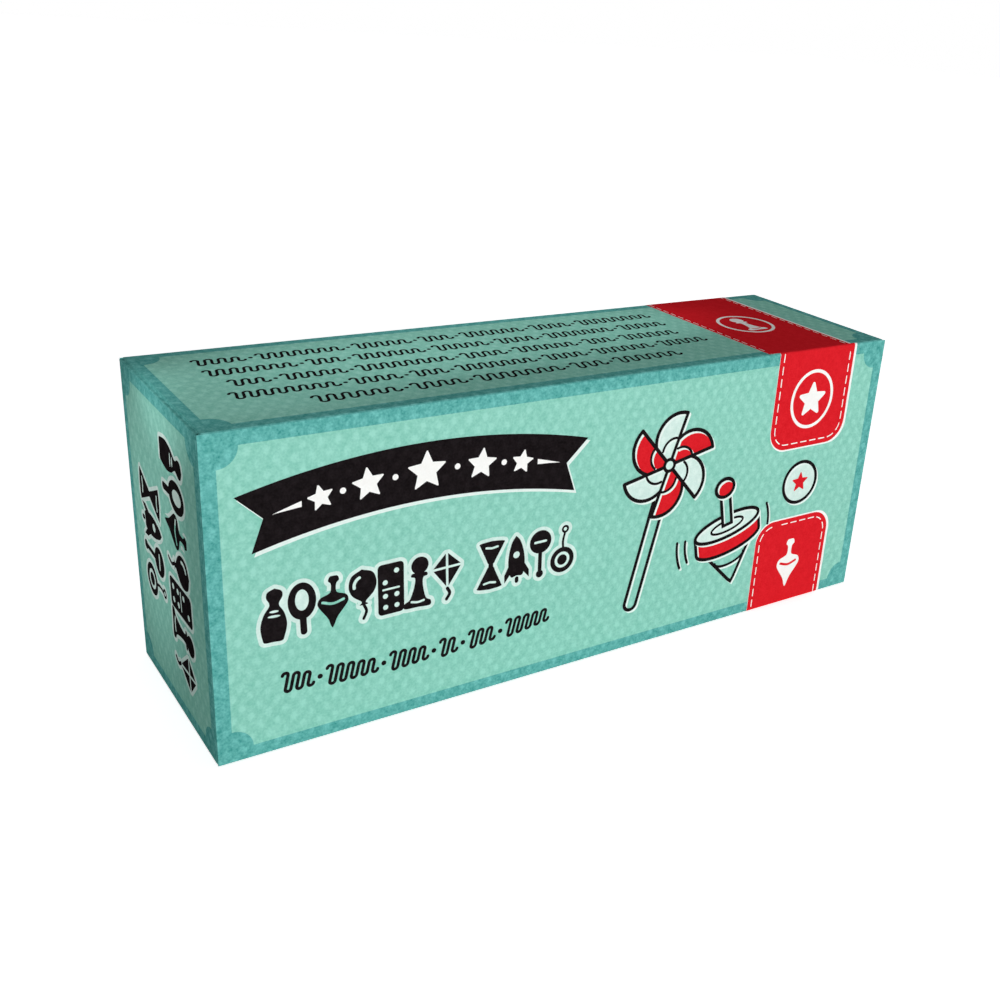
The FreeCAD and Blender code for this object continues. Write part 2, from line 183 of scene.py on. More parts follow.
def ink_colour(finish, plane, name):
    """An ink with its paper grain and the screened dots in it."""
    dark, light, dot_share = inks[name]
    middle = 0.5 - 0.5 * (grain_share + patch_share)
    grain = finish.math("MULTIPLY_ADD", finish.noise(grain_size, 3.0), grain_share, middle)
    share = finish.math("MULTIPLY_ADD", finish.noise(patch_size, 2.0), patch_share, grain)
    if dot_share:
        share = finish.math("MULTIPLY_ADD", screened_dots(finish, plane), dot_share, share)
    return finish.mix(share, colour(dark), colour(light))


print_roughness = 0.6
board_roughness = 0.75
print_specular = 0.0
paper_relief = 0.006
paper_grain = 0.22


def ink_finish(name, plane):
    """An ink for the sheets that lie in a plane."""
    finish = Finish(name + "_" + plane, print_roughness, print_specular)
    finish.bump(finish.noise(paper_grain, 3.0), paper_relief)
    return finish.paint(ink_colour(finish, plane, name))


ink_sets = {plane: {name: ink_finish(name, plane) for name in inks} for plane in planes}


def board_colour(finish):
    """Bare white board with short fibres."""
    fibre_size, fibre_stretch, fibre_twist = 0.5, (1, 1, 0.35), 1.5
    fibre_start, fibre_full = 0.35, 0.75
    fibre = finish.noise(fibre_size, 4.0, fibre_stretch, distortion=fibre_twist)
    share = finish.step(fibre, fibre_start, fibre_full)
    return finish.mix(share, colour(board_light), colour(board_dark))


def facing(finish, outward, least):
    """1 where the surface's direction along outward is more than least, and 0 elsewhere."""
    normal = finish.node("TexCoord").outputs["Normal"]
    along = finish.vector("DOT_PRODUCT", normal, outward).outputs["Value"]
    return finish.math("GREATER_THAN", along, least)


def printed_board(name, outward, plane):
    """Teal print on the outer face and the cut edges, bare board inside."""
    inner_limit = -0.8
    finish = Finish(name, print_roughness, print_specular)
    printed = facing(finish, outward, inner_limit)
    teal = ink_colour(finish, plane, "teal")
    finish.bump(finish.noise(paper_grain, 3.0), paper_relief)
    return finish.paint(finish.mix(printed, board_colour(finish), teal))


def plain_board(name, outward, crease, bleed):
    """Bare board that keeps a strip of the print's bleed beside its crease, on the faces that
    look outward."""
    outer_limit = -0.1
    board_grain = 0.3
    ragged_size, ragged_depth = 0.8, 0.3
    finish = Finish(name, board_roughness, print_specular)
    outer = facing(finish, outward, outer_limit)
    axis, line = crease
    place = finish.node("SeparateXYZ", {0: finish.place}).outputs[axis]
    distance = finish.math("ABSOLUTE", finish.math("SUBTRACT", place, line))
    rough = finish.noise(ragged_size)
    ragged = finish.math("MULTIPLY_ADD", rough, ragged_depth * millimetre, distance)
    near = finish.math("LESS_THAN", ragged, bleed * millimetre)
    share = finish.math("MULTIPLY", outer, near)
    finish.bump(finish.noise(board_grain, 3.0), paper_relief)
    return finish.paint(finish.mix(share, board_colour(finish), ink_colour(finish, "end", "teal")))


def wear(node_name, material):
    """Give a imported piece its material."""
    slots = nodes[node_name].material_slots
    if not slots:
        nodes[node_name].data.materials.append(material)
    for slot in slots:
        slot.link = "OBJECT"
        slot.material = material


panel_sides = {
    "front_panel": ((0, -1, 0), "front"),
    "back_panel": ((0, 1, 0), "front"),
    "top_panel": ((0, 0, 1), "top"),
    "bottom_panel": ((0, 0, -1), "top"),
    "left_end_flap": ((-1, 0, 0), "end"),
    "right_end_flap": ((1, 0, 0), "end"),
}
bleed_width = 2.5


def dress_carton():
    for name, (outward, plane) in panel_sides.items():
        wear(name, printed_board(name + "_print", outward, plane))
    for side, sign in (("left", -1), ("right", 1)):
        end = ("X", sign * half_length * millimetre)
        tongue = plain_board(side + "_tongue_board", (sign, -1, 0), end, bleed_width)
        wear(side + "_tuck_tongue", tongue)
        for level, line, up in (("upper", box_height * millimetre, 1), ("lower", 0.0, -1)):
            name = side + "_" + level + "_dust_flap"
            wear(name, plain_board(name + "_board", (sign, 0, up), ("Z", line), bleed_width))
    wear("glue_flap", plain_board("glue_flap_board", (0, 0, -1), ("Z", 0.0), 0.0))


# Outlines are lists of (across, up) points that run counter-clockwise, and holes run clockwise.

def arc(x, y, radius, start, stop, steps=16):
    """Points along an arc between two angles in degrees."""
    angles = [math.radians(start + (stop - start) * step / steps) for step in range(steps + 1)]
    return [(x + radius * math.cos(angle), y + radius * math.sin(angle)) for angle in angles]


def oval(x, y, wide, high, steps=48):
    """A closed oval with the given half width and half height."""
    angles = [full_turn * step / steps for step in range(steps)]
    return [(x + wide * math.cos(angle), y + high * math.sin(angle)) for angle in angles]


def disc(x, y, radius, steps=48):
    return oval(x, y, radius, radius, steps)


def rounded_box(left, low, right, high, low_radius, high_radius):
    """A box with rounded corners, whose lower and upper corners may differ."""
    points = []
    for x, y, radius, start in (
            (right, low, low_radius, 270), (right, high, high_radius, 0),
            (left, high, high_radius, 90), (left, low, low_radius, 180)):
        if radius == 0:
            points.append((x, y))
            continue
        turned_x = x - radius if x == right else x + radius
        turned_y = y - radius if y == high else y + radius
        points += arc(turned_x, turned_y, radius, start, start + 90, 10)
    return points


def notched_box(left, low, right, high, radius):
    """A box whose corners are quarter circles cut inwards."""
    points = []
    for x, y, start in ((left, low, 90), (right, low, 180), (right, high, 270), (left, high, 0)):
        points += arc(x, y, radius, start, start - 90, 12)
    return points


def star(x, y, outer, inner, turn=90):
    """A star with five points, the first of them at turn degrees."""
    points = 5
    corners = []
    for step in range(points * 2):
        radius = outer if step % 2 == 0 else inner
        angle = math.radians(turn + 180 * step / points)
        corners.append((x + radius * math.cos(angle), y + radius * math.sin(angle)))
    return corners


def grown(loop, by):
    """The outline moved outwards, with its outer corners rounded."""
    round_turn, turn_step, sharpest = 0.3, 0.35, -0.7
    points = [Vector(point) for point in loop]
    widened = []
    for index, point in enumerate(points):
        before = (point - points[index - 1]).normalized()
        after = (points[(index + 1) % len(points)] - point).normalized()
        out_before = Vector((before.y, -before.x))
        out_after = Vector((after.y, -after.x))
        turn = math.atan2(before.x * after.y - before.y * after.x, before.dot(after))
        if turn > round_turn:
            steps = max(2, int(turn / turn_step))
            for step in range(steps + 1):
                widened.append(point + Matrix.Rotation(turn * step / steps, 2) @ out_before * by)
        else:
            slant = max(sharpest, out_before.dot(out_after))
            widened.append(point + (out_before + out_after) * by / (1 + slant))
    return [tuple(point) for point in widened]


def sides(points, width, closed):
    """The left and right sides of a line of the given width."""
    least_slant = 0.45
    line = [Vector(point) for point in points]
    left, right = [], []
    last = len(line) - 1
    for index, point in enumerate(line):
        before = line[index - 1] if closed or index > 0 else point
        after = line[(index + 1) % len(line)] if closed or index < last else point
        arriving, leaving = point - before, after - point
        inward = arriving.normalized() if arriving.length else leaving.normalized()
        outward = leaving.normalized() if leaving.length else inward
        normal = Vector((-inward.y - outward.y, inward.x + outward.x)).normalized()
        slant = normal.dot(Vector((-outward.y, outward.x)))
        reach = width / 2 / max(least_slant, slant)
        left.append(tuple(point + normal * reach))
        right.append(tuple(point - normal * reach))
    return left, right


def stroke(points, width, closed=False):
    """A drawn line as one part: an outline with round ends, or two loops for a closed line."""
    left, right = sides(points, width, closed)
    if closed:
        return [right, left[::-1]]
    first = Vector(points[0]) - Vector(points[1])
    last = Vector(points[-1]) - Vector(points[-2])
    head = math.degrees(math.atan2(last.y, last.x))
    tail = math.degrees(math.atan2(first.y, first.x))
    end = arc(*points[-1], width / 2, head - 90, head + 90, 8)
    start = arc(*points[0], width / 2, tail - 90, tail + 90, 8)
    return [right + end[1:-1] + left[::-1] + start[1:-1]]


def slit(points, width):
    """A drawn line as a hole."""
    return stroke(points, width)[0][::-1]


def smooth(points):
    """An open curve through the points."""
    steps = 6
    line = [Vector(point) for point in points]
    line = [line[0] * 2 - line[1]] + line + [line[-1] * 2 - line[-2]]
    curve = []
    for a, b, c, d in zip(line, line[1:], line[2:], line[3:]):
        for step in range(steps):
            t = step / steps
            curve.append(tuple(0.5 * (2 * b + (c - a) * t + (2 * a - 5 * b + 4 * c - d) * t * t
                                      + (3 * b - a - 3 * c + d) * t * t * t)))
    return curve + [tuple(line[-2])]


def turned(profile):
    """A symmetric outline from (half width, height) points that run upwards."""
    on_axis = 0.002
    right = smooth(profile)
    return right + [(-x, y) for x, y in right[::-1] if x > on_axis]


def moved(loop, x=0.0, y=0.0, size=1.0, turn=0.0):
    """An outline turned by degrees, scaled and put at a place."""
    c, s = math.cos(math.radians(turn)), math.sin(math.radians(turn))
    return [(x + size * (px * c - py * s), y + size * (px * s + py * c)) for px, py in loop]


def move_parts(parts, **place):
    return [[moved(loop, **place) for loop in part] for part in parts]


def level_at(level, x):
    """A level that is a number, or a function of the place."""
    return level(x) if callable(level) else level


def ripple(left, right, level, height, crests):
    """Rounded strokes up and down, slanted a little, that get lower from left to right."""
    radius = (right - left) / (4 * crests)
    slant = 0.22
    first_share, fall, least_leg = 1.2, 0.4, 0.02
    points = []
    for turn in range(2 * crests):
        upper = turn % 2 == 0
        share = turn / (2 * crests)
        leg = max(least_leg, height * (first_share - fall * share) / 2 - radius)
        middle = left + (2 * turn + 1) * radius
        angles = (180, 0) if upper else (-180, 0)
        points += arc(middle, leg if upper else -leg, radius, *angles, steps=8)
    return [(x + slant * y, level_at(level, x) + y) for x, y in points]


def dashes(path, dash, gap, width):
    """Stitches of the given length along a path."""
    margin = 0.05
    parts = []
    line = [Vector(point) for point in path]
    lengths = [0.0]
    for before, after in zip(line, line[1:]):
        lengths.append(lengths[-1] + (after - before).length)

    def at(distance):
        for index in range(1, len(line)):
            if distance <= lengths[index]:
                share = (distance - lengths[index - 1]) / (lengths[index] - lengths[index - 1])
                return line[index - 1].lerp(line[index], share)
        return line[-1]

    start = gap / 2
    while start + dash < lengths[-1]:
        inside = [d for d in lengths if start + margin < d < start + dash - margin]
        points = [tuple(at(d)) for d in [start] + inside + [start + dash]]
        parts.append(stroke(points, width))
        start += dash + gap
    return parts


# Toys for the rows of black figures. Each is 1 high round its middle and about half as wide.

def skittle():
    profile = [(0, -0.5), (0.15, -0.5), (0.19, -0.43), (0.23, -0.2), (0.18, 0.02), (0.09, 0.17),
               (0.09, 0.24), (0.14, 0.34), (0.12, 0.44), (0, 0.5)]
    stripes = [oval(0, y, wide, 0.024, 16)[::-1] for y, wide in ((-0.02, 0.11), (0.07, 0.08))]
    return [[turned(profile)] + stripes]


def bat():
    blade = [oval(0, 0.15, 0.25, 0.35), oval(0, 0.17, 0.12, 0.2)[::-1]]
    return [blade, stroke([(0, -0.17), (0, -0.44)], 0.12)]


def slim_top():
    profile = [(0, -0.5), (0.03, -0.45), (0.09, -0.3), (0.25, -0.08), (0.28, 0.02), (0.23, 0.11),
               (0.1, 0.16), (0.05, 0.21), (0.05, 0.35), (0.1, 0.41), (0.07, 0.49), (0, 0.5)]
    band = smooth([(-0.19, 0.02), (0, -0.03), (0.19, 0.02)])
    return [[turned(profile), slit(band, 0.05)]]


def balloon():
    shine = arc(0, 0.2, 0.16, 110, 190, 8)
    string = smooth([(0, -0.2), (0.04, -0.33), (-0.02, -0.47)])
    profile = [(0, -0.2), (0.08, -0.19), (0.04, -0.13), (0.2, 0.02), (0.26, 0.2), (0.2, 0.4), (0, 0.5)]
    return [[turned(profile), slit(shine, 0.06)], stroke(string, 0.055)]


def domino():
    pips = [(0.11, 0.34), (-0.11, 0.14), (0.11, -0.13), (-0.11, -0.13), (0.11, -0.35), (-0.11, -0.35)]
    holes = [disc(x, y, 0.05, 20)[::-1] for x, y in pips]
    bar = slit([(-0.15, 0.0), (0.15, 0.0)], 0.04)
    return [[rounded_box(-0.25, -0.5, 0.25, 0.5, 0.08, 0.08), bar] + holes]


def pawn():
    body = [(0, -0.5), (0.25, -0.5), (0.26, -0.4), (0.16, -0.33), (0.09, -0.1), (0.08, 0.08), (0.16, 0.12),
            (0.14, 0.18), (0, 0.19)]
    line = slit(smooth([(-0.12, -0.38), (0, -0.4), (0.12, -0.38)]), 0.045)
    return [[turned(body), line], [disc(0, 0.33, 0.17)]]


def kite():
    top, side, foot, middle, gap = 0.5, 0.3, -0.26, 0.17, 0.024
    parts = []
    for across, tip in ((1, top), (-1, top), (-1, foot), (1, foot)):
        up = 1 if tip > middle else -1
        loop = [(across * gap, middle + up * gap), (across * (side - gap), middle + up * gap),
                (across * gap, tip - up * 2 * gap)]
        parts.append([loop if across * up > 0 else loop[::-1]])
    tail = smooth([(0, foot), (0.045, -0.37), (-0.02, -0.48)])
    return parts + [stroke(tail, 0.065)]


def diabolo():
    cup = turned([(0, 0.03), (0.06, 0.04), (0.11, 0.14), (0.24, 0.4), (0.25, 0.47), (0, 0.5)])
    groove = slit([(-0.12, 0.37), (0, 0.35), (0.12, 0.37)], 0.045)
    lower = [[(-x, -y) for x, y in loop] for loop in (cup, groove)]
    return [[cup, groove], lower, [rounded_box(-0.05, -0.05, 0.05, 0.05, 0.0, 0.0)]]


def rattle():
    stripe = slit([(-0.12, 0.26), (0.12, 0.26)], 0.05)
    handle = stroke([(0, 0.05), (0, -0.4)], 0.085)
    return [[disc(0, 0.26, 0.24), stripe], handle, [disc(0, -0.42, 0.08, 24)]]


def rocket():
    hull = turned([(0, -0.34), (0.13, -0.34), (0.18, -0.1), (0.16, 0.15), (0.09, 0.38), (0, 0.5)])
    fin = [(0.14, -0.28), (0.27, -0.44), (0.27, -0.28), (0.15, -0.06)]
    other = [(-x, y) for x, y in fin[::-1]]
    flame = stroke([(0, -0.4), (0, -0.46)], 0.08)
    return [[hull, disc(0, 0.1, 0.07, 24)[::-1]], [fin], [other], flame]


def reel():
    """A disc that climbs its string."""
    string = smooth([(0, 0.0), (-0.025, 0.17), (0, 0.35)])
    loop = stroke(arc(0, 0.42, 0.06, 0, 342, 19), 0.045, closed=True)
    ring = [disc(0, -0.23, 0.27), disc(0, -0.23, 0.17)[::-1]]
    return [ring, [disc(0, -0.23, 0.11)], stroke(string, 0.05), loop]


def plain_star():
    return [[grown(star(0, -0.02, 0.44, 0.2), 0.05)]]


long_row = [skittle, bat, slim_top, balloon, domino, pawn, kite]
short_row = [diabolo, rocket, rattle, reel]
word_gap = 4.2

# Heights of the print's layers above the board.
bed_layer = 0.010
layer_step = 0.012
part_step = 0.0004
part_cycle = 20
plate_share = 0.8
cut_tolerance = 1e-5


class Face:
    """A flat side of the carton. across and up are unit directions as seen from outside."""

    cuts = ()

    def __init__(self, corner, across, up):
        self.corner, self.across, self.up = Vector(corner), Vector(across), Vector(up)
        self.out = self.across.cross(self.up)

    def point(self, u, v, lift):
        return (self.corner + self.across * u + self.up * v + self.out * lift) * millimetre


class Wrap:
    """The carton's section as a path: up the front, over the top, down the back and below.
    Across runs along the carton from its middle, and up is the distance along the path."""

    def __init__(self):
        r = crease_radius
        quarter = full_turn / 4 * r
        y, z = half_depth, box_height
        runs = [
            (z - 2 * r, (-y, r), (0, 1), None),
            (quarter, (-y + r, z - r), None, 180),
            (2 * y - 2 * r, (-y + r, z), (1, 0), None),
            (quarter, (y - r, z - r), None, 90),
            (z - 2 * r, (y, z - r), (0, -1), None),
            (quarter, (y - r, r), None, 0),
            (2 * y - 2 * r, (y - r, 0), (-1, 0), None),
            (quarter, (-y + r, r), None, 270),
        ]
        self.starts, self.runs, total = [], runs, 0.0
        for run in runs:
            self.starts.append(total)
            total += run[0]
        self.total = total
        bends = [(start, run[0]) for start, run in zip(self.starts, runs) if run[3] is not None]
        self.cuts = [start + length * step / 4 + lap for start, length in bends
                     for step in range(5) for lap in (-total, 0.0)]

    def front(self, height):
        """The path's distance at a height on the front."""
        return height - crease_radius

    def top(self, y):
        return self.starts[2] + y + half_depth - crease_radius

    def back(self, height):
        return self.starts[4] + box_height - crease_radius - height

    def point(self, u, v, lift):
        v %= self.total
        index = max(i for i, start in enumerate(self.starts) if start <= v + 1e-9)
        length, (y, z), direction, angle = self.runs[index]
        along = v - self.starts[index]
        if angle is None:
            out = (-direction[1], direction[0])
            place = (y + direction[0] * along, z + direction[1] * along)
        else:
            turn = math.radians(angle - 90 * along / length)
            out = (math.cos(turn), math.sin(turn))
            place = (y + out[0] * crease_radius, z + out[1] * crease_radius)
        return Vector((u, place[0] + out[0] * lift, place[1] + out[1] * lift)) * millimetre


class Print:
    """The print of one side. Parts of one group and ink become one piece."""

    def __init__(self, name, surface, body, plane):
        self.name, self.surface, self.body, self.plane = name, surface, body, plane
        self.meshes = {}
        self.count = 0

    def add(self, group, ink, layer, parts):
        """Lay parts, each an outline and its holes, on a layer in an ink."""
        if (group, ink) not in self.meshes:
            self.meshes[group, ink] = bmesh.new()
        for part in parts:
            self.count += 1
            top = bed_layer + layer * layer_step + self.count % part_cycle * part_step
            self.plate(self.meshes[group, ink], part, top - layer_step * plate_share, top)

    def plate(self, mesh, part, low, high):
        """Add a closed plate between two heights to a mesh, laid on the surface."""
        flat = [[Vector((x, y, 0)) for x, y in loop] for loop in part]
        made = bmesh.new()
        points = [point for loop in flat for point in loop]
        floors = [[made.verts.new((p.x, p.y, lift)) for p in points] for lift in (low, high)]
        for triangle in tessellate_polygon(flat):
            if len(set(triangle)) == 3:
                made.faces.new([floors[0][i] for i in triangle])
                made.faces.new([floors[1][i] for i in reversed(triangle)])
        start = 0
        for loop in flat:
            ring = list(range(start, start + len(loop)))
            start += len(loop)
            for a, b in zip(ring, ring[1:] + ring[:1]):
                made.faces.new((floors[0][a], floors[0][b], floors[1][b], floors[1][a]))
        for cut in self.surface.cuts:
            everything = made.verts[:] + made.edges[:] + made.faces[:]
            bmesh.ops.bisect_plane(
                made, geom=everything, plane_co=(0, cut, 0), plane_no=(0, 1, 0), dist=cut_tolerance)
        for vertex in made.verts:
            vertex.co = self.surface.point(*vertex.co)
        bmesh.ops.recalc_face_normals(made, faces=made.faces[:])
        copy = bpy.data.meshes.new("plate")
        made.to_mesh(copy)
        mesh.from_mesh(copy)
        made.free()
        bpy.data.meshes.remove(copy)

    def finish(self):
        for (group, ink), mesh in self.meshes.items():
            name = "_".join((self.name, group, ink))
            data = bpy.data.meshes.new(name)
            mesh.to_mesh(data)
            mesh.free()
            data.materials.append(ink_sets[self.plane][ink])
            piece = bpy.data.objects.new(name, data)
            scene.collection.objects.link(piece)
            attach(piece, self.body)


frame_width = 3.0
notch_radius = 4.2
shadow_shift = 0.5
outline_width = 0.9
halo_width = 0.85


def shadow(outline):
    """A pale shape that shows past the lower right of the outline."""
    growth, right, down = 0.05, 0.55, 0.7
    return moved(grown(outline, growth), right, -down)


def halo(parts):
    return [[grown(part[0], halo_width)] for part in parts]


def lay_panel(sheet, width, height):
    """The mint field inside the teal frame."""
    right, top = width - frame_width, height - frame_width
    sheet.add("panel", "mint", 1, [[notched_box(frame_width, frame_width, right, top, notch_radius)]])


def lay_banner(sheet, left, level):
    """An arched black ribbon with forked ends, carrying a row of stars. left and level are the
    place of its lower left tip."""
    wide, sag, tall, crown = 72.4, 4.5, 11.95, 0.45
    fork_x, fork_y = 2.5, 6.85
    flare = 2.8
    steps = 28
    stars = ((0.0, 4.2), (12.6, 3.3), (22.4, 2.5))
    star_share, star_rounding = 0.47, 0.18
    tilt_share, centre_share = 0.5, 0.98
    dot_places, dot_size = (6.9, 17.9), 0.65
    rule_start, rule_stop, rule_thick, rule_steps = 26.2, 32.0, 0.6, 8

    def bow(x):
        return 1 - (2 * (x - left) / wide - 1) ** 2

    def lower(x):
        return level + sag * bow(x)

    along = [left + wide * step / steps for step in range(steps + 1)]
    bottom = [(x, lower(x)) for x in along]
    spread = (wide + 2 * flare) / wide
    top = [(left - flare + (x - left) * spread, y + tall + crown * bow(x)) for x, y in bottom]
    ribbon = [(left + fork_x, level + fork_y)] + bottom
    ribbon += [(left + wide - fork_x, level + fork_y)] + top[::-1]
    sheet.add("banner", "black", 3, [[ribbon]])
    sheet.add("banner", "frost", 2, [[shadow(ribbon)]])
    middle = left + wide / 2

    def centre(x):
        return lower(middle + (x - middle) * centre_share) + (tall + crown) / 2

    marks = []
    for away, size in stars:
        for sign in ((1,) if away == 0 else (-1, 1)):
            x = middle + sign * away
            tilt = 90 - sign * away * tilt_share
            marks.append([grown(star(x, centre(x), size, size * star_share, tilt), star_rounding)])
    for sign in (-1, 1):
        for away in dot_places:
            x = middle + sign * away
            marks.append([disc(x, centre(x), dot_size, 20)])
        rule = []
        for step in range(rule_steps + 1):
            x = rule_start + (rule_stop - rule_start) * step / rule_steps
            rule.append((middle + sign * x, centre(middle + sign * x)))
        thick = [rule_thick * (1 - step / rule_steps) for step in range(rule_steps + 1)]
        upper = [(x, y + half) for (x, y), half in zip(rule, thick)]
        under = [(x, y - half) for (x, y), half in zip(rule[:-1], thick)]
        outline = upper[::-1] + under if sign < 0 else under + upper[::-1]
        marks.append([outline])
    sheet.add("banner", "white", 4, marks)


def width_of(parts):
    across = [x for part in parts for x, y in part[0]]
    return max(across) - min(across)


def lay_row(sheet, left, right, level, tall, rows, turn=0.0, group="row"):
    """Groups of black toys with pale halos, all in one line, spread evenly with a wider gap
    between the groups. A turned line runs downwards."""
    tilts = (-3, 2, -2, 3, 1)
    figures = [figure() for row in rows for figure in row]
    widths = [tall * width_of(parts) for parts in figures]
    gap = (right - left - sum(widths) - word_gap * (len(rows) - 1)) / (len(figures) - len(rows))
    along = left
    for index, (parts, width) in enumerate(zip(figures, widths)):
        if index == len(rows[0]):
            along += word_gap - gap
        middle = along + width / 2
        along += width + gap
        x, y = (middle, level) if turn == 0 else (level, -middle)
        tilt = turn + tilts[index % len(tilts)]
        placed = move_parts(parts, x=x, y=y, size=tall, turn=tilt)
        sheet.add(group, "pale", 2, halo(placed))
        sheet.add(group, "black", 3, placed)


def lay_waves(sheet, rows, height, width, gap, group):
    """Rows of ripples with a dot in each gap. A row is (left, right, level, crests of each)."""
    dot_share = 0.8
    for left, right, level, counts in rows:
        period = (right - left - gap * (len(counts) - 1)) / sum(counts)
        parts = []
        x = left
        for crests in counts:
            if x > left:
                parts.append([disc(x + gap / 2, level_at(level, x), width * dot_share, 14)])
                x += gap
            parts.append(stroke(ripple(x, x + crests * period, level, height, crests), width))
            x += crests * period
        sheet.add(group, "black", 3, parts)


def drawn(sheet, group, layer, lines):
    """Black lines with a pale shadow to their lower right."""
    sheet.add(group, "frost", layer, move_parts(lines, x=shadow_shift, y=-shadow_shift))
    sheet.add(group, "black", layer + 1, lines)


def outlined(sheet, group, layer, ink, outline):
    """A filled shape with a drawn outline."""
    sheet.add(group, ink, layer, [[outline]])
    drawn(sheet, group, layer + 1, [stroke(outline, outline_width, closed=True)])


def lay_pinwheel(sheet, x, y):
    """A pinwheel with six curved vanes on a leaning stick."""
    radius, lean = 13.0, -13.0
    vanes, first_turn, edge_steps = 6, 12, 12
    share = 360 / vanes
    stick_half, stick_long, stick_round = 1.7, 37.0, 1.65
    fold_share, fold_weight = 0.52, 0.7
    hub, hub_light = 1.9, 1.05
    stick = rounded_box(-stick_half, -stick_long, stick_half, 0.0, stick_round, 0.0)
    stick = moved(stick, x, y, 1.0, lean)
    head = []
    for number in range(vanes):
        start = number * share + first_turn
        edge = [(radius * math.cos(math.radians(a)), start + a) for a in
                [share * step / edge_steps for step in range(edge_steps + 1)]]
        curve = [(r * math.cos(math.radians(a)), r * math.sin(math.radians(a))) for r, a in edge]
        vane = moved([(0, 0)] + curve, x, y)
        head.append(vane)
    outlined(sheet, "pinwheel", 3, "mint", stick)
    for number, vane in enumerate(head):
        sheet.add("pinwheel", "red" if number % 2 == 0 else "pale", 6, [[vane]])
    for vane in head:
        inner = [Vector((x, y)).lerp(Vector(point), fold_share) for point in vane[2:-2]]
        fold = stroke([tuple(point) for point in inner], outline_width * fold_weight)
        rim, spoke = stroke(vane[1:], outline_width), stroke(vane[:2], outline_width)
        drawn(sheet, "pinwheel", 7, [rim, spoke, fold])
    sheet.add("pinwheel", "black", 9, [[disc(x, y, hub, 28)]])
    sheet.add("pinwheel", "pale", 10, [[disc(x, y, hub_light, 24)]])


def lay_top(sheet, x, y):
    """A spinning top in outline, seen a little from above."""
    wide, deep, drop, lean = 10.2, 3.1, 4.6, 12.0
    tip, tip_half, tip_top, shoulder = -16.6, 0.9, -15.6, 0.6
    shoulder_share, waist_share, waist_deep, waist_level = 0.86, 0.46, 0.6, -9.4
    eye_share, eye_deep = 0.5, 0.48
    stem, stem_low, stem_high = 1.4, 0.4, 9.4
    knob_level, knob_wide, knob_high = 10.8, 2.8, 2.4
    thin, thinner = outline_width * 0.8, outline_width * 0.7
    spin_level, spin_angle = -2.0, 13

    def at(points):
        return moved(points, x, y, 1.0, lean)

    def bow(width, level, depth):
        """The near half of an oval, from its left to its right end."""
        return [(width * math.cos(a), level + depth * math.sin(a)) for a in
                [math.pi + math.pi * step / 20 for step in range(21)]]

    slope = [(0, tip), (tip_half, tip_top), (wide * shoulder_share, shoulder - drop)]
    body = at([(-x, y) for x, y in slope[::-1]] + slope[1:])
    band = at(bow(wide, -drop, deep) + bow(wide, 0, deep)[::-1])
    band_line = at([(-wide, 0)] + bow(wide, -drop, deep) + [(wide, 0)])
    lid = at(oval(0, 0, wide, deep))
    stalk = at([(-stem, stem_low), (stem, stem_low), (stem, stem_high), (-stem, stem_high)])
    knob = at(oval(0, knob_level, knob_wide, knob_high, 28))
    waist = at(bow(wide * waist_share, waist_level, deep * waist_deep))
    eye = at(oval(0, 0, wide * eye_share, deep * eye_deep))
    outlined(sheet, "top", 3, "mint", body)
    drawn(sheet, "top", 4, [stroke(waist, thin)])
    sheet.add("top", "red", 6, [[band]])
    drawn(sheet, "top", 7, [stroke(band_line, outline_width)])
    outlined(sheet, "top", 9, "pale", lid)
    drawn(sheet, "top", 10, [stroke(eye, thinner, True)])
    outlined(sheet, "top", 12, "mint", stalk)
    outlined(sheet, "top", 15, "red", knob)
    for sign, reach in ((-1, 13.5), (1, 13.5), (-1, 16.0)):
        side = 180 if sign < 0 else 0
        mark = at(arc(0, spin_level, reach, side - spin_angle, side + spin_angle, 8))
        drawn(sheet, "top", 2, [stroke(mark, thin)])


def lay_small_ball(sheet, x, y):
    """A ball with a red star."""
    radius, star_outer, star_inner, rounding = 5.6, 2.6, 1.2, 0.15
    outlined(sheet, "ball", 3, "pale", disc(x, y, radius))
    sheet.add("ball", "red", 6, [[grown(star(x, y, star_outer, star_inner), rounding)]])


def lay_long_side(sheet, title_left, picture_shift, ball_place):
    """The art of the front, and in another order of the back."""
    banner_inset, banner_level = 1.1, 44.95
    row_wide, row_level, row_tall = 72.5, 31.05, 11.6
    line_start, line_stop, line_tall, line_thick, line_gap = 3.5, 66.6, 3.6, 0.72, 2.4
    line_level, line_rise, line_half = 13.65, 2.2, 36
    pinwheel_left, pinwheel_level = 107.5, 46.5
    top_left, top_level = 128.0, 27.0
    lay_panel(sheet, box_length, box_height)
    lay_banner(sheet, title_left - banner_inset, banner_level)
    lay_row(sheet, title_left, title_left + row_wide, row_level, row_tall, [long_row, short_row])

    def sagging(x):
        return line_level + line_rise * ((x - title_left - line_half) / line_half) ** 2

    row = (title_left + line_start, title_left + line_stop, sagging, (3, 5, 4, 2, 3, 5))
    lay_waves(sheet, [row], line_tall, line_thick, line_gap, "line")
    lay_pinwheel(sheet, pinwheel_left + picture_shift, pinwheel_level)
    lay_top(sheet, top_left + picture_shift, top_level)
    lay_small_ball(sheet, *ball_place)


def lay_end(sheet):
    """Two columns of toys on a closure, read from the side. A column is (its start and stop below
    the upper edge, its place across, its toys, its name)."""
    tall = 13.6
    columns = ((8.0, 61.0, 32.4, long_row, "column"), (21.0, 49.0, 15.2, short_row, "short_column"))
    lay_panel(sheet, box_depth, box_height)
    for start, stop, across, toys, name in columns:
        lay_row(sheet, start - box_height, stop - box_height, across, tall, [toys], -90, name)


